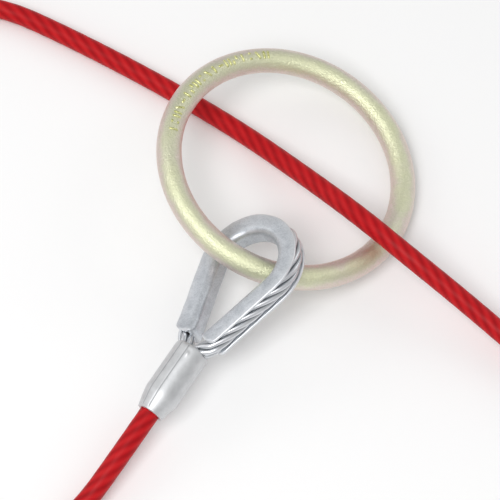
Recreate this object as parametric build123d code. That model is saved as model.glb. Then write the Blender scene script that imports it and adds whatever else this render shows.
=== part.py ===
"""A choker cable: a vinyl-coated wire rope with a thimble eye at each end and an O-ring in one eye.

The near eye holds the O-ring. The coated cable leaves its ferrule, comes round in an open loop,
passes under one side of the ring and over the other, and ends in a second thimble eye.
Millimetres, +Z up. The floor is Z = 0, and the origin is under the middle of the ring and near eye.
"""

from build123d import *
import math
import os

# O-ring: 3-1/4 in opening, 3/8 in round bar, lying with its left side raised on the thimble
RING_OPENING = 83.4
RING_BAR = 9.53
RING_CENTRE = Vector(2.75, 25.16, 18.06)
RING_AXIS = Vector(0.286, 0, 0.958)

# Wire rope: a core strand and six outer strands
STRAND = 1.75
STRAND_PITCH_RADIUS = 1.98
OUTER_STRANDS = 6
LAY_LENGTH = 40.0
STRAND_STEPS_PER_TURN = 12
ROPE_RADIUS = STRAND_PITCH_RADIUS + STRAND / 2

# Vinyl coating over the same rope
JACKET = 7.5
JACKET_BORE = 6.0
CABLE_ROPE = 5.86

# Thimble: a channel bent to a teardrop, bearing surface inside, groove outside
BEARING_RADIUS = 12.2
CHANNEL_DEPTH = 7.8
CHANNEL_HALF_WIDTH = 4.5
THIMBLE_WALL = 1.2
LAND_HALF_WIDTH = 1.5
LIP_FILLET = 0.45
LEG_ANGLE = 18.1
LEG_LENGTH = 31.0
TIP_FILLETS = (2.4, 3.4)
ROPE_SEAT = 1.0

# Ferrule: pressed over both rope parts, tapered towards the coated cable
FERRULE_LENGTH = 28.6
FERRULE_RADIUS = 6.9
TAPER_END_RADIUS = 5.1
TAPER_LENGTH = 7.5
SHOULDER_FILLET = 1.2
MOUTH_CHAMFER = 0.35
ROPE_CLEARANCE = 0.1
BORE_END_GAP = 0.7
JACKET_CLEARANCE = 0.05
JACKET_GRIP = 5.6
MOUTH_DEPTH = JACKET_GRIP + 0.3
CROWN_TO_FERRULE = 38.9

# Each eye: the centre of its crown, the direction from ferrule to crown, and the eye's face
NEAR_CROWN = Vector(-10.97, -18.58, 21.6)
NEAR_AXIS = Vector(0.551, 0.824, 0.135)
NEAR_FACE = Vector(-0.434, 0.159, 0.887)
FAR_CROWN = Vector(142.69, -99.07, 5.72)
FAR_AXIS = Vector(0.7165, -0.697, -0.0325)
FAR_FACE = Vector(0, 0, 1)

# Centre line of the coated cable, from inside the near ferrule to inside the far one
CABLE_ROUTE = [
    (-45.06, -69.57, 13.25),
    (-59.44, -91.06, 9.73),
    (-72, -108, 5.0),
    (-90, -124.5, 3.9),
    (-115, -129, 3.9),
    (-140, -118.5, 3.9),
    (-158.5, -97, 3.9),
    (-170.5, -68, 3.9),
    (-178, -38, 3.9),
    (-179.5, -2, 3.9),
    (-177.5, 32, 3.9),
    (-171, 64, 3.9),
    (-157.5, 90, 3.9),
    (-136, 104.5, 3.9),
    (-110.5, 105.3, 3.9),
    (-86.2, 93.6, 3.9),
    (-50.8, 72.7, 3.9),
    (-16.9, 49.7, 4.6),
    (12.1, 21.9, 13.5),
    (30.3, 0.8, 23.4),
    (46.9, -14.9, 23.4),
    (64.4, -26.8, 15.5),
    (83.59, -41.57, 8.4),
    (98.34, -55.93, 7.73),
]


def rounded_path(points):
    """Straight runs joined by tangent arcs, each arc as large as its two runs allow."""
    points = [Vector(*p) for p in points]
    radii = []
    for before, corner, after in zip(points, points[1:], points[2:]):
        turn = (corner - before).get_angle(after - corner)
        shorter = min((corner - before).length, (after - corner).length)
        radii.append(0.45 * shorter / math.tan(math.radians(turn) / 2))
    return FilletPolyline(*points, radius=radii), radii


def tube_along(path, outer, inner=0.0):
    """A round tube, or a rod where inner is zero, along a path."""
    start = Plane(origin=path @ 0, z_dir=path % 0)
    section = Circle(outer)
    if inner:
        section -= Circle(inner)
    return sweep(start * section, path=path)


def eye_plane(crown, axis, face):
    """The plane of an eye: x across it, y from ferrule to crown, origin at the crown's centre."""
    across = axis.cross(face)
    return Plane(origin=crown, x_dir=across, z_dir=across.cross(axis))


# ---------------------------------------------------------------- rope in the eye plane
SEAT_RADIUS = BEARING_RADIUS + THIMBLE_WALL + ROPE_SEAT + ROPE_RADIUS
BRANCH_OFFSET = ROPE_RADIUS + 0.05
NECK = CROWN_TO_FERRULE - 1.0
LIVE_SHIFT_START = CROWN_TO_FERRULE + 13.0
LIVE_SHIFT_END = CROWN_TO_FERRULE + 20.0
LIVE_END = CROWN_TO_FERRULE + FERRULE_LENGTH - JACKET_GRIP - 0.4
DEAD_END = CROWN_TO_FERRULE + 12.0


def leg_point(radius, down):
    """A point on the right leg's line at a radius from the crown, a distance down from the crown."""
    angle = math.radians(LEG_ANGLE)
    return (
        radius * math.cos(angle) - down * math.sin(angle),
        -radius * math.sin(angle) - down * math.cos(angle),
    )


def rope_line(beyond=0.0):
    """The rope's centre line in the eye: live part, right leg, crown, left leg, dead end."""
    start = leg_point(SEAT_RADIUS, 0)
    knee = leg_point(SEAT_RADIUS, LEG_LENGTH - 1.0)
    live = [
        (0, -LIVE_END - beyond),
        (0, -LIVE_SHIFT_END),
        (BRANCH_OFFSET, -LIVE_SHIFT_START),
        (BRANCH_OFFSET, -NECK),
        knee,
        start,
    ]
    dead = [
        (-start[0], start[1]),
        (-knee[0], knee[1]),
        (-BRANCH_OFFSET, -NECK),
        (-BRANCH_OFFSET, -DEAD_END - beyond),
    ]
    crown = CenterArc((0, 0), SEAT_RADIUS, -LEG_ANGLE, 180 + 2 * LEG_ANGLE)
    return Wire([*rounded_path(live)[0].edges(), *crown.edges(), *rounded_path(dead)[0].edges()])


def outer_strand(line, start_angle):
    """One outer strand, wound round the rope's line as short straight runs and arcs."""
    steps = round(line.length / LAY_LENGTH * STRAND_STEPS_PER_TURN)
    points = []
    for i in range(steps + 1):
        share = i / steps
        turn = math.radians(start_angle) + 2 * math.pi * share * line.length / LAY_LENGTH
        across = (line % share).cross(Vector(0, 0, 1))
        offset = across * math.cos(turn) + Vector(0, 0, 1) * math.sin(turn)
        points.append(line @ share + offset * STRAND_PITCH_RADIUS)
    return tube_along(rounded_path(points)[0], STRAND / 2)


# ---------------------------------------------------------------- thimble in the eye plane
def channel_section():
    """The channel's section: x outwards from the bearing surface, y along the eye's face normal."""
    half, land = CHANNEL_HALF_WIDTH, LAND_HALF_WIDTH
    corner = half - land
    inner = half - THIMBLE_WALL
    middle = inner + THIMBLE_WALL
    cut = math.sqrt(0.5)
    edges = [
        Line((0, -land), (0, land)),
        ThreePointArc((0, land), (corner - corner * cut, land + corner * cut), (corner, half)),
        Line((corner, half), (CHANNEL_DEPTH, half)),
        Line((CHANNEL_DEPTH, half), (CHANNEL_DEPTH, inner)),
        Line((CHANNEL_DEPTH, inner), (middle, inner)),
        ThreePointArc((middle, inner), (THIMBLE_WALL, 0), (middle, -inner)),
        Line((middle, -inner), (CHANNEL_DEPTH, -inner)),
        Line((CHANNEL_DEPTH, -inner), (CHANNEL_DEPTH, -half)),
        Line((CHANNEL_DEPTH, -half), (corner, -half)),
        ThreePointArc((corner, -half), (corner - corner * cut, -land - corner * cut), (0, -land)),
    ]
    section = make_face(edges)
    lips = section.vertices().filter_by_position(Axis.X, CHANNEL_DEPTH - 0.01, CHANNEL_DEPTH + 0.01)
    return fillet(lips, LIP_FILLET)


def thimble_leg():
    """A straight leg along +Z with its section in XY, and a rounded tip."""
    leg = extrude(channel_section(), LEG_LENGTH)
    outline = Polyline(
        (-1, 0), (CHANNEL_DEPTH + 0.5, 0), (CHANNEL_DEPTH + 0.5, LEG_LENGTH), (-1, LEG_LENGTH), close=True
    )
    outline = Plane.XZ * make_face(outline)
    tips = outline.vertices().group_by(Axis.Z)[-1].sort_by(Axis.X)
    for tip, radius in zip(tips, TIP_FILLETS):
        corner = outline.vertices().sort_by_distance(tip.center())[0]
        outline = fillet(corner, radius)
    return leg & extrude(outline, CHANNEL_HALF_WIDTH + 1, both=True)


def thimble():
    """Crown and two legs, in the eye plane."""
    start = Plane(origin=(0, 0, 0), x_dir=(1, 0, 0), z_dir=(0, -1, 0))
    section = start * (Pos(BEARING_RADIUS, 0, 0) * channel_section())
    crown = revolve(section, Axis.Z, 180 + 2 * LEG_ANGLE)
    crown = Rot(0, 0, -LEG_ANGLE) * crown
    right = Rot(0, 0, -LEG_ANGLE) * (start * (Pos(BEARING_RADIUS, 0, 0) * thimble_leg()))
    return crown + right + mirror(right, Plane.YZ)


# ---------------------------------------------------------------- ferrule in the eye plane
def ferrule():
    """The pressed sleeve, with its bore following the rope and a wider mouth for the coated cable."""
    top = -CROWN_TO_FERRULE
    bottom = top - FERRULE_LENGTH
    profile = Polyline(
        (0, bottom),
        (TAPER_END_RADIUS, bottom),
        (FERRULE_RADIUS, bottom + TAPER_LENGTH),
        (FERRULE_RADIUS, top),
        (0, top),
        close=True,
    )
    body = revolve(make_face(profile), Axis.Y)
    ends = body.edges().filter_by(GeomType.CIRCLE).sort_by(Axis.Y)
    body = fillet(ends[-1], SHOULDER_FILLET)
    ends = body.edges().filter_by(GeomType.CIRCLE).sort_by(Axis.Y)
    body = chamfer(ends[0], MOUTH_CHAMFER)
    bore = tube_along(rope_line(BORE_END_GAP), ROPE_RADIUS + ROPE_CLEARANCE)
    mouth = Pos(0, bottom, 0) * Rot(-90, 0, 0) * Cylinder(
        JACKET / 2 + JACKET_CLEARANCE, MOUTH_DEPTH, align=(Align.CENTER, Align.CENTER, Align.MIN)
    )
    return body - bore - mouth


# ---------------------------------------------------------------- assembly
def build_parts():
    parts = {}
    ring_plane = Plane(origin=RING_CENTRE, z_dir=RING_AXIS)
    parts["o_ring"] = ring_plane * Torus((RING_OPENING + RING_BAR) / 2, RING_BAR / 2)

    line = rope_line()
    eye = {"thimble": thimble(), "ferrule": ferrule(), "core_strand": tube_along(line, STRAND / 2)}
    for i in range(OUTER_STRANDS):
        eye[f"outer_strand_{i + 1}"] = outer_strand(line, i * 360 / OUTER_STRANDS)
    near = eye_plane(NEAR_CROWN, NEAR_AXIS, NEAR_FACE)
    far = eye_plane(FAR_CROWN, FAR_AXIS, FAR_FACE)
    for name, shape in eye.items():
        parts[name] = near.location * shape
        parts["far_" + name] = far.location * shape

    path, radii = rounded_path(CABLE_ROUTE)
    parts["cable_jacket"] = tube_along(path, JACKET / 2, JACKET_BORE / 2)
    parts["cable_rope"] = tube_along(path, CABLE_ROPE / 2)
    print("cable length", round(path.length, 1), "radii", [round(r, 1) for r in radii])
    for name, area in (
        ("cable_jacket", math.pi * (JACKET**2 - JACKET_BORE**2) / 4),
        ("cable_rope", math.pi * CABLE_ROPE**2 / 4),
    ):
        print(name, "volume over section times length", parts[name].volume / area / path.length)
    return parts


os.makedirs("parts", exist_ok=True)
for node, solid in build_parts().items():
    solid.label = node
    export_step(solid, f"parts/{node}.step")
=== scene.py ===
"""Looks of the thimble eye: O-ring, thimble, bare rope, ferrule and coated cable. Metres, +Z up."""

import math

import bpy
import numpy as np
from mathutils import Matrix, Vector, noise


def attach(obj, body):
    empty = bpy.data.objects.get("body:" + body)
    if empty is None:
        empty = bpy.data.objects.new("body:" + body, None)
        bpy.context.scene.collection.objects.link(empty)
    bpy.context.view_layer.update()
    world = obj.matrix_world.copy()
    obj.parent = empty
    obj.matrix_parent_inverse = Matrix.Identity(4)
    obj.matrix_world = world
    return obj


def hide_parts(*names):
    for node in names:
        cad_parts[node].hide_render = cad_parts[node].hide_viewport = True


MM = 0.001
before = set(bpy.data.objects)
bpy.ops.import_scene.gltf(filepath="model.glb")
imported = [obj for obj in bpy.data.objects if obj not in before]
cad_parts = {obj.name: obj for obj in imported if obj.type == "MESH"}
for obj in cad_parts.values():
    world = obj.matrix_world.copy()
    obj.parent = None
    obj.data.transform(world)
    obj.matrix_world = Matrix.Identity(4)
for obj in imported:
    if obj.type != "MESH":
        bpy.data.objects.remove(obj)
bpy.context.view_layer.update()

# ---------------------------------------------------------------- sizes, in metres
# The O-ring
RING_CENTRE = np.array([2.75, 25.16, 18.06]) * MM
RING_AXIS = np.array([0.286, 0, 0.958])
RING_RADIUS = 46.465 * MM
BAR_RADIUS = 4.765 * MM
PAINTED_SHEEN_SIDE = (0.0, -0.45, 0.89)  # Painted sheen: the camera's way, toward which the plating is painted greener

# Each eye: its origin in mm, the way from its ferrule to its crown, and the way its face looks
NEAR_EYE = ((-10.97, -18.58, 21.6), (0.551, 0.824, 0.135), (-0.434, 0.159, 0.887))
FAR_EYE = ((142.69, -99.07, 5.72), (0.7165, -0.697, -0.0325), (0, 0, 1))

# The thimble: a channel round the crown's arc, with two straight legs
BEARING_RADIUS = 12.2 * MM
CHANNEL_DEPTH = 7.8 * MM
CHANNEL_HALF_WIDTH = 4.5 * MM
THIMBLE_WALL = 1.2 * MM
LAND_HALF_WIDTH = 1.8 * MM
LEG_ANGLE = math.radians(18.1)
LEG_LENGTH = 31.0 * MM

# The bare rope: outer strands wound round a core strand
OUTER_STRANDS = 6
STRAND_RADIUS = 1.1 * MM
STRAND_PITCH_RADIUS = 2.08 * MM
SEAT_RADIUS = 17.4 * MM
LAY_LENGTH = 42.0 * MM
WIRES = 12
WIRE_LAY = 15.0 * MM
ROPE_APART = 3.2 * MM  # Each rope's distance from the eye's middle line, in the ferrule's top

# The ferrule: a sleeve with a taper at its cable end
CROWN_TO_FERRULE = 38.3 * MM
FERRULE_LENGTH = 28.6 * MM
FERRULE_RADIUS = 6.75 * MM
TAPER_LENGTH = 7.5 * MM
TAPER_END_RADIUS = 5.1 * MM
DIE_LINES = (math.radians(68), math.radians(97))
DIE_LINE_DEPTH, DIE_LINE_WIDTH = 0.16 * MM, 0.2 * MM

# The coated cable
CABLE_RADIUS = 3.75 * MM
CABLE_LAY = 42.0 * MM
FINE_LINE_LAY, FINE_LINES = 19.0 * MM, 26

# Its route: the CAD's points, with the crossing over the ring brought down nearer to it
CABLE_ROUTE = [
    (-0.04506, -0.06957, 0.01325),
    (-0.05944, -0.09106, 0.00973),
    (-0.072, -0.108, 0.005),
    (-0.09, -0.1245, 0.0039),
    (-0.115, -0.129, 0.0039),
    (-0.14, -0.1185, 0.0039),
    (-0.1585, -0.097, 0.0039),
    (-0.1705, -0.068, 0.0039),
    (-0.178, -0.038, 0.0039),
    (-0.1795, -0.002, 0.0039),
    (-0.1775, 0.032, 0.0039),
    (-0.171, 0.064, 0.0039),
    (-0.1575, 0.09, 0.0039),
    (-0.136, 0.1075, 0.0039),
    (-0.1115, 0.1065, 0.0039),
    (-0.0862, 0.0936, 0.0039),
    (-0.0508, 0.0727, 0.0039),
    (-0.0169, 0.0501, 0.0041),
    (0.0121, 0.0233, 0.0105),
    (0.0303, 0.0028, 0.0194),
    (0.0469, -0.0129, 0.0194),
    (0.0644, -0.0258, 0.0135),
    (0.08359, -0.04157, 0.0084),
    (0.09834, -0.05593, 0.00773),
]


# ---------------------------------------------------------------- mesh helpers
def unit(v):
    return v / np.linalg.norm(v)


def mesh_object(name, points, faces, uvs=None, shade=None):
    """A smooth mesh object, with a (u, v) for each face corner and a shade for each point."""
    mesh = bpy.data.meshes.new(name)
    mesh.from_pydata([tuple(p) for p in points], [], faces)
    if uvs is not None:
        layer = mesh.uv_layers.new(name="UVMap")
        layer.data.foreach_set("uv", np.asarray(uvs, dtype=np.float32).ravel())
    if shade is not None:
        mesh.attributes.new("shade", "FLOAT", "POINT").data.foreach_set(
            "value", np.asarray(shade, dtype=np.float32)
        )
    mesh.validate()
    mesh.shade_smooth()
    obj = bpy.data.objects.new(name, mesh)
    bpy.context.scene.collection.objects.link(obj)
    return obj


def skin(name, rings, along, around, closed=False, caps=(False, False), shade=None):
    """A surface through rings of points, of shape (rings, points, 3).

    along holds a U for each ring and around a V for each point, each with one more where it closes.
    """
    count, size = rings.shape[:2]
    faces, uvs = [], []
    for i in range(count if closed else count - 1):
        j = (i + 1) % count
        u0, u1 = along[i], along[i + 1]
        for k in range(size):
            m = (k + 1) % size
            faces.append((i * size + k, i * size + m, j * size + m, j * size + k))
            v0, v1 = around[k], around[k + 1]
            uvs += [(u0, v0), (u0, v1), (u1, v1), (u1, v0)]
    points = rings.reshape(-1, 3)
    for end, cap in zip((0, count - 1), caps):
        if cap:
            loop = [end * size + k for k in range(size)]
            faces.append(tuple(loop if end else reversed(loop)))
            uvs += [(along[end], 0.0)] * size
    return mesh_object(name, points, faces, uvs, None if shade is None else shade.ravel())


def lengths(points):
    """The distance along a row of points, from 0."""
    return np.concatenate([[0], np.cumsum(np.linalg.norm(np.diff(points, axis=0), axis=1))])


def resampled(points, step):
    """The same row of points, evenly spaced."""
    s = lengths(points)
    at = np.linspace(0, s[-1], max(2, round(s[-1] / step) + 1))
    return np.stack([np.interp(at, s, points[:, i]) for i in range(3)], axis=1)


def steady_frames(points):
    """Two directions across a line at each point, which turn as little as they can."""
    tangents = np.gradient(points, axis=0)
    tangents /= np.linalg.norm(tangents, axis=1)[:, None]
    sides = [unit(np.cross(tangents[0], (0, 0, 1.0)))]
    for tangent in tangents[1:]:
        sides.append(unit(sides[-1] - tangent * np.dot(sides[-1], tangent)))
    sides = np.array(sides)
    return sides, np.cross(tangents, sides)


def rims(turns, side, other):
    """Directions out from a line at each of its points, one for each of turns."""
    across, up = np.cos(turns)[None, :, None], np.sin(turns)[None, :, None]
    return across * side[:, None] + up * other[:, None]


def bumpy(point, scale, seed):
    """Smooth noise, from -1 to 1, whose features are about scale metres across."""
    return noise.noise(Vector(point) / scale + Vector((seed, 2 * seed, 3 * seed)))


# ---------------------------------------------------------------- materials
def new_material(name, **values):
    """A material with its node tree and its Principled shader, on which values are set."""
    material = bpy.data.materials.new(name)
    material.use_nodes = True
    tree = material.node_tree
    shader = tree.nodes["Principled BSDF"]
    for socket, value in values.items():
        shader.inputs[socket.replace("_", " ")].default_value = value
    return material, tree, shader


def node(tree, kind, inputs=None, **settings):
    """A new node. Each input is a socket to link or a value to set."""
    made = tree.nodes.new(kind)
    for key, value in settings.items():
        setattr(made, key, value)
    for key, value in (inputs or {}).items():
        if isinstance(value, bpy.types.NodeSocket):
            tree.links.new(value, made.inputs[key])
        else:
            made.inputs[key].default_value = value
    return made


def noise_of(tree, where, scale, detail=3.0, roughness=0.55, distortion=0.0):
    inputs = {
        "Vector": where,
        "Scale": scale,
        "Detail": detail,
        "Roughness": roughness,
        "Distortion": distortion,
    }
    return node(tree, "ShaderNodeTexNoise", inputs).outputs["Fac"]


def ramp(tree, factor, stops):
    made = node(tree, "ShaderNodeValToRGB", {"Fac": factor})
    elements = made.color_ramp.elements
    while len(elements) < len(stops):
        elements.new(0.5)
    for element, (position, colour) in zip(elements, stops):
        element.position = position
        element.color = (*colour, 1)
    return made.outputs["Color"]


def maths(tree, operation, first, second=0.0):
    return node(tree, "ShaderNodeMath", {0: first, 1: second}, operation=operation).outputs[0]


def centred(tree, factor, reach):
    """A factor of 0 to 1 spread about 0, over reach in all."""
    return maths(tree, "MULTIPLY", maths(tree, "SUBTRACT", factor, 0.5), reach)


def wave(tree, phase):
    """The cosine of phase, brought to 0 to 1."""
    return maths(tree, "ADD", maths(tree, "MULTIPLY", maths(tree, "COSINE", phase), 0.5), 0.5)


def spread(tree, factor, low, high):
    """A factor of 0 to 1 brought to low to high, and kept within them."""
    made = node(tree, "ShaderNodeMapRange", {"Value": factor, "To Min": low, "To Max": high})
    return made.outputs["Result"]


def mixed(tree, factor, first, second, blend="MIX"):
    made = node(tree, "ShaderNodeMix", data_type="RGBA", blend_type=blend)
    for key, value in ((0, factor), (6, first), (7, second)):
        if isinstance(value, bpy.types.NodeSocket):
            tree.links.new(value, made.inputs[key])
        elif key == 0:
            made.inputs[key].default_value = value
        else:
            made.inputs[key].default_value = (*value, 1)
    return made.outputs[2]


def bumped(tree, shader, height, strength, distance, under=None):
    """A bump on the shader, over the bump under it where there is one."""
    inputs = {"Height": height, "Strength": strength, "Distance": distance}
    made = node(tree, "ShaderNodeBump", inputs)
    if under is not None:
        tree.links.new(under, made.inputs["Normal"])
    tree.links.new(made.outputs["Normal"], shader.inputs["Normal"])
    return made.outputs["Normal"]


def object_place(tree):
    return node(tree, "ShaderNodeTexCoord").outputs["Object"]


def point_shade(tree):
    return node(tree, "ShaderNodeAttribute", attribute_name="shade").outputs["Fac"]


def uv_parts(tree):
    """U, the distance along a piece, and V, the part of the way round it."""
    uv = node(tree, "ShaderNodeUVMap", uv_map="UVMap").outputs["UV"]
    parts = node(tree, "ShaderNodeSeparateXYZ", {"Vector": uv})
    return parts.outputs["X"], parts.outputs["Y"]


def zinc_yellow():
    """Yellow zinc plating, with painted sheen: greenish yellow where the bar faces the camera's
    way, pinkish down its sides.
    """
    material, tree, shader = new_material("zinc_yellow", Metallic=1.0)
    place = object_place(tree)
    patch = noise_of(tree, place, 38.0, 2.0)
    cloud = noise_of(tree, place, 160.0, 4.0)
    fine = noise_of(tree, place, 1500.0, 3.0, 0.6)
    grain = noise_of(tree, place, 2600.0, 3.0, 0.65)
    # How far the surface turns from the camera's way, toward which the painted sheen is greener: 0
    # turned that way, 1 at right angles to it
    normal = node(tree, "ShaderNodeTexCoord").outputs["Normal"]
    inputs = {0: normal, 1: PAINTED_SHEEN_SIDE}
    facing = node(tree, "ShaderNodeVectorMath", inputs, operation="DOT_PRODUCT").outputs["Value"]
    side = maths(tree, "SUBTRACT", 1.0, maths(tree, "MULTIPLY", facing, facing))
    side = maths(tree, "ADD", side, centred(tree, cloud, 0.6))
    side = maths(tree, "ADD", side, centred(tree, patch, 0.7))
    # Plating hues with painted sheen: greenish yellow toward the camera's way, pinkish where the
    # bar turns from it, standing in for reflections
    plating = ramp(
        tree,
        side,
        [
            (0.10, (0.80, 0.81, 0.56)),
            (0.40, (0.79, 0.78, 0.60)),
            (0.62, (0.80, 0.71, 0.65)),
            (0.88, (0.80, 0.66, 0.65)),
        ],
    )
    green = mixed(tree, spread(tree, fine, -0.4, 0.9), plating, (0.62, 0.64, 0.44))
    tree.links.new(green, shader.inputs["Base Color"])
    tree.links.new(spread(tree, fine, 0.20, 0.54), shader.inputs["Roughness"])
    coarse = bumped(tree, shader, fine, 0.8, 0.00034)
    bumped(tree, shader, grain, 0.7, 0.00022, coarse)
    return material


def galvanised():
    """Hot dip zinc: pale bluish grey with soft cloudy mottling, and a painted highlight along the
    lips and leg tips.
    """
    material, tree, shader = new_material("galvanised", Metallic=0.8)
    place = object_place(tree)
    lip_glint = point_shade(tree)
    cloud = noise_of(tree, place, 260.0, 5.0, 0.62, 0.6)
    fine = noise_of(tree, place, 1900.0, 4.0, 0.6)
    greys = [(0.30, (0.53, 0.56, 0.60)), (0.52, (0.63, 0.66, 0.70)), (0.75, (0.72, 0.75, 0.79))]
    base = ramp(tree, cloud, greys)
    speck = ramp(tree, fine, [(0.38, (0.78, 0.79, 0.80)), (0.56, (1, 1, 1))])
    mottled = mixed(tree, 0.75, base, speck, "MULTIPLY")
    # Painted highlight: paler colour along the lips and at the leg tips, where their edges catch
    # the light
    glinted = mixed(tree, maths(tree, "MULTIPLY", lip_glint, 0.75), mottled, (0.88, 0.90, 0.92))
    tree.links.new(glinted, shader.inputs["Base Color"])
    tree.links.new(spread(tree, fine, 0.30, 0.52), shader.inputs["Roughness"])
    coarse = bumped(tree, shader, cloud, 0.35, 0.0003)
    bumped(tree, shader, fine, 0.35, 0.00008, coarse)
    return material


def rope_steel():
    """Bright strand wire, with painted shade in the gaps between the strands."""
    material, tree, shader = new_material("rope_steel", Metallic=1.0)
    shade = point_shade(tree)
    fine = noise_of(tree, object_place(tree), 900.0, 3.0)
    greys = [(0.12, (0.03, 0.03, 0.035)), (0.45, (0.42, 0.44, 0.46)), (0.8, (0.80, 0.82, 0.85))]
    steel = ramp(tree, shade, greys)
    dulled = mixed(tree, spread(tree, fine, 0.0, 0.35), steel, (0.55, 0.57, 0.60))
    tree.links.new(dulled, shader.inputs["Base Color"])
    tree.links.new(spread(tree, fine, 0.26, 0.42), shader.inputs["Roughness"])
    return material


def ferrule_metal():
    """Pressed aluminium: matt, with fine lengthwise drawing marks, and painted shade darkening the
    die-line grooves.
    """
    material, tree, shader = new_material("ferrule_metal", Metallic=0.9)
    along, around = uv_parts(tree)
    cloud = noise_of(tree, object_place(tree), 300.0, 4.0)
    stretched = {"X": maths(tree, "MULTIPLY", along, 60.0), "Y": around}
    lines = node(tree, "ShaderNodeCombineXYZ", stretched)
    drawn = noise_of(tree, lines.outputs[0], 90.0, 3.0)
    base = ramp(tree, cloud, [(0.30, (0.60, 0.61, 0.62)), (0.70, (0.74, 0.75, 0.76))])
    groove_shade = point_shade(tree)
    marked = mixed(tree, spread(tree, drawn, 0.0, 0.4), base, (0.56, 0.57, 0.59))
    # Painted shade: darker colour in the die-line grooves
    marked = mixed(tree, maths(tree, "MULTIPLY", groove_shade, 0.7), marked, (0.24, 0.25, 0.26))
    tree.links.new(marked, shader.inputs["Base Color"])
    tree.links.new(spread(tree, cloud, 0.44, 0.58), shader.inputs["Roughness"])
    bumped(tree, shader, drawn, 0.25, 0.00008)
    return material


def red_vinyl():
    """Smooth red vinyl over a rope: the strands and wires under it show as faint slanting bands."""
    gloss = {"Roughness": 0.42, "IOR": 1.42, "Specular_IOR_Level": 0.2}
    material, tree, shader = new_material("red_vinyl", **gloss)
    along, around = uv_parts(tree)
    place = object_place(tree)
    drift = centred(tree, noise_of(tree, place, 60.0, 2.0), 1.6)
    turns = maths(tree, "SUBTRACT", around, maths(tree, "DIVIDE", along, CABLE_LAY))
    phase = maths(tree, "ADD", maths(tree, "MULTIPLY", turns, 2 * math.pi * OUTER_STRANDS), drift)
    band = wave(tree, phase)
    turns = maths(tree, "ADD", around, maths(tree, "DIVIDE", along, FINE_LINE_LAY))
    finer = wave(tree, maths(tree, "MULTIPLY", turns, 2 * math.pi * FINE_LINES))
    patch = noise_of(tree, place, 170.0, 3.0, 0.6)
    banded = maths(tree, "MULTIPLY", band, 0.62)
    depth = maths(tree, "ADD", banded, maths(tree, "MULTIPLY", patch, 0.5))
    red = ramp(
        tree,
        depth,
        [
            (0.15, (0.330, 0.003, 0.006)),
            (0.42, (0.430, 0.005, 0.009)),
            (0.66, (0.500, 0.007, 0.011)),
            (0.95, (0.570, 0.013, 0.016)),
        ],
    )
    lined = mixed(tree, maths(tree, "MULTIPLY", finer, 0.14), red, (0.30, 0.003, 0.007))
    tree.links.new(lined, shader.inputs["Base Color"])
    bumped(tree, shader, patch, 0.12, 0.0002)
    return material


def floor_material():
    material, tree, shader = new_material("floor", Roughness=0.85)
    cloud = noise_of(tree, object_place(tree), 3.0)
    base = ramp(tree, cloud, [(0.0, (0.94, 0.94, 0.94)), (1.0, (0.96, 0.96, 0.96))])
    tree.links.new(base, shader.inputs["Base Color"])
    return material


# ---------------------------------------------------------------- O-ring
def ring_frame():
    """The ring's axis and two directions in its plane."""
    axis = unit(RING_AXIS)
    across = unit(np.cross((0, 1.0, 0), axis))
    return axis, across, np.cross(axis, across)


def on_ring(turn, tube, lift=0.0):
    """A point on the bar. turn goes round the ring from +X, tube round the bar from its outside."""
    axis, across, up = ring_frame()
    out = across * math.cos(turn) + up * math.sin(turn)
    away = out * math.cos(tube) + axis * math.sin(tube)
    return RING_CENTRE + out * RING_RADIUS + away * (BAR_RADIUS + lift)


def o_ring(material):
    steps, size = 420, 56
    dent, dent_scale, seed = 0.03 * MM, 6 * MM, 1
    turns = np.linspace(0, 2 * math.pi, steps, endpoint=False)
    tubes = np.linspace(0, 2 * math.pi, size, endpoint=False)
    rings = np.empty((steps, size, 3))
    for i, turn in enumerate(turns):
        for k, tube in enumerate(tubes):
            point = on_ring(turn, tube)
            rings[i, k] = on_ring(turn, tube, dent * bumpy(point, dent_scale, seed))
    along = np.arange(steps + 1) * 2 * math.pi * RING_RADIUS / steps
    bar = skin("o_ring_bar", rings, along, np.arange(size + 1) / size, closed=True)
    bar.data.materials.append(material)
    return bar


# Each mark's strokes: offset along the bar, offset across it and length in mm, angle in degrees
STROKES = {
    "tick": [(0, 0, 3.8, 90)],
    "pair": [(-0.85, 0, 3.8, 90), (0.85, 0, 3.8, 90)],
    "slash": [(0, 0, 4.0, 64)],
    "dots": [(0, -1.2, 1.1, 0), (0, 1.2, 1.1, 0)],
    "bar": [(0, 0, 2.2, 0)],
    "steps": [(-0.8, 0.9, 2.0, 90), (0.8, -0.9, 2.0, 90)],
}
MARK_ROW = (
    "tick dots pair slash bar tick steps pair dots "
    "slash tick bar pair steps tick dots slash pair"
).split()
MARKS_FROM, MARKS_TO = math.radians(172), math.radians(102)
MARK_HEIGHT, MARK_WIDTH = 0.5 * MM, 1.0 * MM
MARK_SUNK = 0.25  # The part of its height by which a mark's edge lies inside the bar


def ring_marks(material):
    """Plain raised strokes along the bar, in place of a stamped legend."""
    points, faces = [], []
    rows, columns = 7, 9
    for index, kind in enumerate(MARK_ROW):
        centre = MARKS_FROM + (MARKS_TO - MARKS_FROM) * index / (len(MARK_ROW) - 1)
        for along, across, long, angle in STROKES[kind]:
            slant = math.radians(angle)
            first = len(points)
            for row in range(rows):
                for column in range(columns):
                    a, b = 2 * row / (rows - 1) - 1, 2 * column / (columns - 1) - 1
                    x, y = b * long * MM / 2, a * MARK_WIDTH / 2
                    dome = max(0.0, 1 - a**4) * max(0.0, 1 - b**6)
                    s = along * MM + x * math.cos(slant) - y * math.sin(slant)
                    t = across * MM + x * math.sin(slant) + y * math.cos(slant)
                    turn = centre - s / RING_RADIUS
                    tube = math.pi / 2 + t / BAR_RADIUS
                    points.append(on_ring(turn, tube, MARK_HEIGHT * (dome - MARK_SUNK)))
            for row in range(rows - 1):
                for column in range(columns - 1):
                    at = first + row * columns + column
                    faces.append((at, at + 1, at + columns + 1, at + columns))
    marks = mesh_object("o_ring_marks", points, faces, [(0.0, 0.25)] * (4 * len(faces)))
    marks.data.materials.append(material)
    return marks


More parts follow.
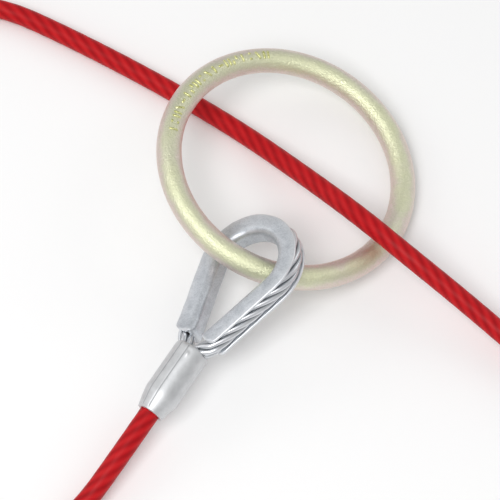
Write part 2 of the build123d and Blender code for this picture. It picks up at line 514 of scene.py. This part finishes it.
def mark_material():
    material, tree, shader = new_material("stamped_marks", Metallic=1.0)
    fine = noise_of(tree, object_place(tree), 1500.0, 3.0)
    flecked = ramp(tree, fine, [(0.35, (0.42, 0.44, 0.14)), (0.6, (0.88, 0.87, 0.46))])
    tree.links.new(flecked, shader.inputs["Base Color"])
    tree.links.new(spread(tree, fine, 0.25, 0.4), shader.inputs["Roughness"])
    return material


# ---------------------------------------------------------------- an eye's own frame and lines
class Eye:
    """An eye's frame: x across it, y from ferrule to crown, z out of its face.

    Its origin is the centre of the crown's arc.
    """

    def __init__(self, origin, axis, face):
        self.origin = np.array(origin) * MM
        axis, face = unit(np.array(axis, float)), np.array(face, float)
        self.x = unit(np.cross(axis, face))
        self.y = axis
        self.z = np.cross(self.x, axis)

    def at(self, x, y, z=0.0):
        return self.origin + self.x * x + self.y * y + self.z * z

    def out(self, x, y, z=0.0):
        return self.x * x + self.y * y + self.z * z


def leg_point(radius, down, side):
    """A point on a leg's line, with the line's outward direction. side is 1 or -1."""
    x = radius * math.cos(LEG_ANGLE) - down * math.sin(LEG_ANGLE)
    y = -radius * math.sin(LEG_ANGLE) - down * math.cos(LEG_ANGLE)
    return (side * x, y), (side * math.cos(LEG_ANGLE), -math.sin(LEG_ANGLE))


def thimble_line(step):
    """Stations round the teardrop: the way outward, the foot on the bearing line, the way down."""
    stations = []
    fine_end = 3.6 * MM
    coarse = LEG_LENGTH - fine_end
    downs = [LEG_LENGTH - x for x in np.linspace(0, fine_end, 13)]
    downs += list(np.linspace(coarse, 0, round(coarse / step))[1:-1])
    for down in downs:
        foot, out = leg_point(BEARING_RADIUS, down, 1)
        stations.append((out, foot, down))
    for turn in np.linspace(-LEG_ANGLE, math.pi + LEG_ANGLE, 90):
        out = (math.cos(turn), math.sin(turn))
        stations.append((out, (out[0] * BEARING_RADIUS, out[1] * BEARING_RADIUS), 0.0))
    for down in reversed(downs):
        foot, out = leg_point(BEARING_RADIUS, down, -1)
        stations.append((out, foot, down))
    return stations


def rounded_lip(x, z, radius, start, count=6):
    """Half a circle about (x, z), from the angle start."""
    turns = [start + math.pi * i / count for i in range(count + 1)]
    return [(x + radius * math.cos(turn), z + radius * math.sin(turn)) for turn in turns]


def channel_profile():
    """The channel's closed section, (outward, along the face normal) pairs."""
    half, wall = CHANNEL_HALF_WIDTH, THIMBLE_WALL
    back, groove = half - LAND_HALF_WIDTH, half - wall
    lip = CHANNEL_DEPTH - wall / 2
    points = []
    for i in range(13):
        turn = math.pi / 2 + math.pi / 2 * i / 12
        points.append((back + back * math.cos(turn), LAND_HALF_WIDTH + back * math.sin(turn)))
    points += [(0, 0.75 * MM), (0, 0), (0, -0.75 * MM)]
    for i in range(13):
        turn = math.pi + math.pi / 2 * i / 12
        points.append((back + back * math.cos(turn), -LAND_HALF_WIDTH + back * math.sin(turn)))
    points.append(((back + lip) / 2, -half))
    points += rounded_lip(lip, -half + wall / 2, wall / 2, -math.pi / 2)
    for i in range(21):
        turn = -math.pi / 2 - math.pi * i / 20
        points.append((half + groove * math.cos(turn), groove * math.sin(turn)))
    points += rounded_lip(lip, half - wall / 2, wall / 2, -math.pi / 2)
    points.append(((back + lip) / 2, half))
    return points


def thimble(name, eye, material, seed):
    tip_back, tip_lip = 2.4 * MM, 3.4 * MM
    splay, splay_length = 0.35 * MM, 9 * MM
    fine_dent, fine_scale = 0.07 * MM, 3.5 * MM
    broad_dent, broad_scale = 0.10 * MM, 9 * MM
    # How far the painted highlight reaches in from the leg tips and from the lips
    tip_glint, lip_glint_reach = 1.2 * MM, 1.1 * MM
    profile = channel_profile()
    rings, lip_glint = [], []
    for out, foot, down in thimble_line(0.9 * MM):
        left = LEG_LENGTH - down
        back = tip_back - math.sqrt(max(0.0, tip_back**2 - max(0.0, tip_back - left) ** 2))
        short = tip_lip - math.sqrt(max(0.0, tip_lip**2 - max(0.0, tip_lip - left) ** 2))
        opened = splay * max(0.0, 1 - left / splay_length) ** 2
        ring = []
        for outward, side in profile:
            reach = min(max(outward, back), CHANNEL_DEPTH - short)
            x, y = foot[0] + out[0] * reach, foot[1] + out[1] * reach
            point = eye.at(x, y, side + math.copysign(opened, side))
            dent = fine_dent * bumpy(point, fine_scale, seed)
            dent += broad_dent * bumpy(point, broad_scale, seed + 1)
            ring.append(point + eye.z * dent + eye.out(*out) * dent)
        rings.append(ring)
        # Painted highlight: 1 at the leg tips and along the lips, fading inward
        end = max(0.0, 1 - left / tip_glint)
        lip_glint.append([max(end, 1 - (CHANNEL_DEPTH - outward) / lip_glint_reach) for outward, _ in profile])
    rings = np.array(rings)
    around = np.arange(len(profile) + 1) / len(profile)
    piece = skin(name, rings, lengths(rings[:, 0]), around, caps=(True, True), shade=np.array(lip_glint))
    piece.data.materials.append(material)
    return piece


def rope_line(eye):
    """The rope's centre line in the eye, from inside the ferrule, round the crown, and back."""
    hidden, mouth_depth, tip_gap = 7 * MM, 1.2 * MM, 1.0 * MM
    down = LEG_LENGTH - tip_gap
    mouth = (ROPE_APART, -CROWN_TO_FERRULE - mouth_depth)
    right = [(mouth[0], y) for y in np.linspace(mouth[1] - hidden, mouth[1], 12)]
    knee, _ = leg_point(SEAT_RADIUS, down, 1)
    start, start_way = np.array(mouth), np.array([0, 1.0])
    end, end_way = np.array(knee), np.array([math.sin(LEG_ANGLE), math.cos(LEG_ANGLE)])
    span = np.linalg.norm(end - start)
    for t in np.linspace(0, 1, 18)[1:]:
        bend = (
            (2 * t**3 - 3 * t**2 + 1) * start
            + (t**3 - 2 * t**2 + t) * span * start_way
            + (3 * t**2 - 2 * t**3) * end
            + (t**3 - t**2) * span * end_way
        )
        right.append(tuple(bend))
    for along in np.linspace(down, 0, 40)[1:-1]:
        right.append(leg_point(SEAT_RADIUS, along, 1)[0])
    crown = [
        (SEAT_RADIUS * math.cos(turn), SEAT_RADIUS * math.sin(turn))
        for turn in np.linspace(-LEG_ANGLE, math.pi + LEG_ANGLE, 100)
    ]
    flat = right + crown + [(-x, y) for x, y in reversed(right)]
    return np.array([eye.at(x, y) for x, y in flat])


def strands(prefix, eye, material):
    """The core strand and the outer strands, each scalloped by wires wound the other way."""
    step, points_per_wire, scallop = 0.55 * MM, 6, 0.05
    line = resampled(rope_line(eye), step)
    tangents = np.gradient(line, axis=0)
    tangents /= np.linalg.norm(tangents, axis=1)[:, None]
    across = np.cross(tangents, eye.z)
    s = lengths(line)
    size = WIRES * points_per_wire
    turns = np.linspace(0, 2 * math.pi, size, endpoint=False)
    pieces = []
    for index in range(OUTER_STRANDS + 1):
        outer = index < OUTER_STRANDS
        wind = 2 * math.pi * (index / OUTER_STRANDS - s / LAY_LENGTH)
        pitch = STRAND_PITCH_RADIUS if outer else 0.0
        away = across * np.cos(wind)[:, None] + eye.z * np.sin(wind)[:, None]
        centre = line + away * pitch
        along = np.gradient(centre, axis=0)
        along /= np.linalg.norm(along, axis=1)[:, None]
        side = away - along * (away * along).sum(1)[:, None]
        side /= np.linalg.norm(side, axis=1)[:, None]
        other = np.cross(along, side)
        lobes = WIRES * (turns[None, :] - 2 * math.pi * s[:, None] / WIRE_LAY) / 2
        radius = STRAND_RADIUS * (1 - scallop + scallop * np.abs(np.cos(lobes)))
        rings = centre[:, None] + radius[..., None] * rims(turns, side, other)
        off = np.linalg.norm(rings - line[:, None], axis=2) / (STRAND_PITCH_RADIUS + STRAND_RADIUS)
        # Painted shade in the gaps between the strands, and a little painted shade between the
        # wires
        shade = np.clip((off - 0.55) / 0.45, 0, 1) * (0.55 + 0.45 * np.abs(np.cos(lobes)))
        name = f"{prefix}strand_{index + 1}" if outer else f"{prefix}strand_core"
        piece = skin(name, rings, s, np.arange(size + 1) / size, caps=(True, True), shade=shade)
        piece.data.materials.append(material)
        pieces.append(piece)
    return pieces


# ---------------------------------------------------------------- ferrule
def ferrule_profile():
    """(distance up from the cable end, radius) pairs, from inside the mouth to the top's middle."""
    rim, bore, shoulder = 0.32 * MM, 3.72 * MM, 1.7 * MM
    end = TAPER_END_RADIUS
    quarter = np.linspace(0, math.pi / 2, 5)
    points = [(4.0 * MM, bore), (1.2 * MM, bore)]
    points += [(rim - rim * math.sin(t), bore + rim - rim * math.cos(t)) for t in quarter]
    points += [(rim - rim * math.cos(t), end - rim + rim * math.sin(t)) for t in quarter]
    slope = (FERRULE_RADIUS - end) / TAPER_LENGTH
    points += [(0.55 * MM, end - 0.02 * MM), (0.8 * MM, end + 0.10 * MM)]
    points += [(t, end + slope * t) for t in np.linspace(1.3 * MM, TAPER_LENGTH - 0.7 * MM, 10)]
    points.append((TAPER_LENGTH, FERRULE_RADIUS - 0.06 * MM))
    points.append((TAPER_LENGTH + 0.8 * MM, FERRULE_RADIUS))
    high, inner = FERRULE_LENGTH - shoulder, FERRULE_RADIUS - shoulder
    points += [(t, FERRULE_RADIUS) for t in np.linspace(TAPER_LENGTH + 1.6 * MM, high, 26)]
    for t in np.linspace(0, math.pi / 2, 9)[1:]:
        points.append((high + shoulder * math.sin(t), inner + shoulder * math.cos(t)))
    points += [(FERRULE_LENGTH, r) for r in np.linspace(inner, 0.05 * MM, 16)[1:]]
    return points


def ferrule(name, eye, material, seed):
    """The sleeve, with two die lines, a small pip, and a top sunk between its shoulders."""
    size, edge, flat_top = 288, 0.8 * MM, 0.9 * MM
    pip_turn, pip_up, pip_height, pip_radius = math.radians(57), 24.6 * MM, 0.35 * MM, 0.55 * MM
    sunk_depth, slot_radius, slot_start, slot_blend = 2.6 * MM, 3.3 * MM, 0.94, 0.12
    dent_depth, dent_scale = 0.035 * MM, 4 * MM
    turns = np.linspace(0, 2 * math.pi, size, endpoint=False)
    rings, groove_shades = [], []
    profile = ferrule_profile()
    for up, radius in profile:
        ring = []
        body = edge < up < FERRULE_LENGTH - edge and radius > 4.8 * MM
        for turn in turns:
            lift = 0.0
            if body:
                for line in DIE_LINES:
                    beside = (turn - line) * radius / DIE_LINE_WIDTH
                    lift -= DIE_LINE_DEPTH * math.exp(-(beside**2))
                beside = math.hypot((turn - pip_turn) * radius, up - pip_up)
                lift += pip_height * math.exp(-((beside / pip_radius) ** 2))
            x, z = (radius + lift) * math.cos(turn), (radius + lift) * math.sin(turn)
            y = -CROWN_TO_FERRULE - FERRULE_LENGTH + up
            if up > FERRULE_LENGTH - flat_top:
                gap = max(abs(x) - ROPE_APART, 0.0)
                near = math.hypot(gap, z) / slot_radius
                y -= sunk_depth * (1 - min(1.0, max(0.0, (near - slot_start) / slot_blend)))
            point = eye.at(x, y, z)
            if body:
                dent = dent_depth * bumpy(point, dent_scale, seed)
                point = point + dent * eye.out(math.cos(turn), 0, math.sin(turn))
            ring.append(point)
            # Painted shade: how deep the point lies in a die-line groove, 0 to 1
            groove_shades.append(min(1.0, max(0.0, -lift / DIE_LINE_DEPTH)))
        rings.append(ring)
    along = np.array([up for up, _ in profile])
    around = np.arange(size + 1) / size
    shade = np.array(groove_shades)
    piece = skin(name, np.array(rings), along, around, caps=(False, True), shade=shade)
    piece.data.materials.append(material)
    return piece


# ---------------------------------------------------------------- cable
def cable_line():
    """The cable's centre line: points read from a smooth spline through the route."""
    curve = bpy.data.curves.new("cable_route", "CURVE")
    curve.dimensions = "3D"
    curve.resolution_u = 32
    spline = curve.splines.new("NURBS")
    spline.points.add(len(CABLE_ROUTE) - 1)
    for point, place in zip(spline.points, CABLE_ROUTE):
        point.co = (*place, 1)
    spline.order_u = 3
    spline.use_endpoint_u = True
    holder = bpy.data.objects.new("cable_route", curve)
    bpy.context.scene.collection.objects.link(holder)
    bpy.context.view_layer.update()
    mesh = bpy.data.meshes.new_from_object(holder)
    line = np.array([tuple(v.co) for v in mesh.vertices])
    bpy.data.objects.remove(holder)
    bpy.data.curves.remove(curve)
    bpy.data.meshes.remove(mesh)
    return line


def coated_cable(material):
    """The coated cable, with its centre line."""
    step, size, lobe = 1.1 * MM, 60, 0.006
    line = resampled(cable_line(), step)
    side, other = steady_frames(line)
    s = lengths(line)
    turns = np.linspace(0, 2 * math.pi, size, endpoint=False)
    lobes = OUTER_STRANDS * (turns[None, :] - 2 * math.pi * s[:, None] / CABLE_LAY)
    radius = CABLE_RADIUS * (1 - lobe / 2 + lobe * np.cos(lobes))
    rings = line[:, None] + radius[..., None] * rims(turns, side, other)
    piece = skin("coated_cable", rings, s, np.arange(size + 1) / size, caps=(True, True))
    piece.data.materials.append(material)
    return piece, line


# ---------------------------------------------------------------- floor, light, camera
def stage():
    size = 3.0
    corners = [(-size, -size, 0), (size, -size, 0), (size, size, 0), (-size, size, 0)]
    floor = mesh_object("floor", corners, [(0, 1, 2, 3)])
    floor.data.materials.append(floor_material())


def area_light(name, place, target, size, power):
    data = bpy.data.lights.new(name, "AREA")
    data.shape = "RECTANGLE"
    data.size, data.size_y = size
    data.energy = power
    light = bpy.data.objects.new(name, data)
    light.location = place
    light.rotation_euler = (Vector(target) - Vector(place)).to_track_quat("-Z", "Y").to_euler()
    bpy.context.scene.collection.objects.link(light)


def lights():
    target = (-0.01, 0, 0.01)
    area_light("key", (-0.28, -0.42, 1.0), target, (0.6, 0.6), 6.0)
    area_light("left", (-0.9, 0.35, 0.6), target, (0.7, 0.5), 1.1)
    area_light("right", (0.9, 0.5, 0.7), target, (0.7, 0.5), 1.1)
    world = bpy.data.worlds.new("studio")
    world.use_nodes = True
    world.node_tree.nodes["Background"].inputs["Color"].default_value = (1, 1, 1, 1)
    world.node_tree.nodes["Background"].inputs["Strength"].default_value = 0.56
    bpy.context.scene.world = world


def camera():
    target = Vector((-0.01145, -0.00104, 0))
    distance, elevation = 0.9, math.radians(63)
    width_in_view = 0.1905
    data = bpy.data.cameras.new("camera")
    data.sensor_width = 36
    data.lens = data.sensor_width * distance / width_in_view
    data.clip_start, data.clip_end = 0.01, 20
    view = bpy.data.objects.new("camera", data)
    view.location = target + Vector((0, -math.cos(elevation), math.sin(elevation))) * distance
    view.rotation_euler = (math.pi / 2 - elevation, 0, 0)
    bpy.context.scene.collection.objects.link(view)
    bpy.context.scene.camera = view
    bpy.context.scene.view_settings.view_transform = "Standard"


# ---------------------------------------------------------------- assembly
def stands_for(piece, body, slot, *nodes):
    """Says which body a piece moves with, and the CAD nodes it replaces. Its slot is not used."""
    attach(piece, body)
    if nodes:
        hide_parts(*nodes)


stage()
lights()
camera()

ring = o_ring(zinc_yellow())
stands_for(ring, "ring", "zinc_yellow", "o_ring")
stands_for(ring_marks(mark_material()), "ring", "zinc_yellow")

zinc, steel, pressed = galvanised(), rope_steel(), ferrule_metal()
for prefix, place, seed in (("", NEAR_EYE, 5), ("far_", FAR_EYE, 9)):
    eye = Eye(*place)
    body = thimble(prefix + "thimble_channel", eye, zinc, seed)
    stands_for(body, "sling", "galvanised", prefix + "thimble")
    sleeve = ferrule(prefix + "ferrule_sleeve", eye, pressed, seed)
    stands_for(sleeve, "sling", "ferrule", prefix + "ferrule")
    wound = strands(prefix, eye, steel)
    for index, piece in enumerate(wound):
        outer = index < OUTER_STRANDS
        name = f"{prefix}outer_strand_{index + 1}" if outer else prefix + "core_strand"
        stands_for(piece, "sling", "rope_steel", name)

cable, cable_path = coated_cable(red_vinyl())
stands_for(cable, "sling", "red_vinyl", "cable_jacket", "cable_rope")
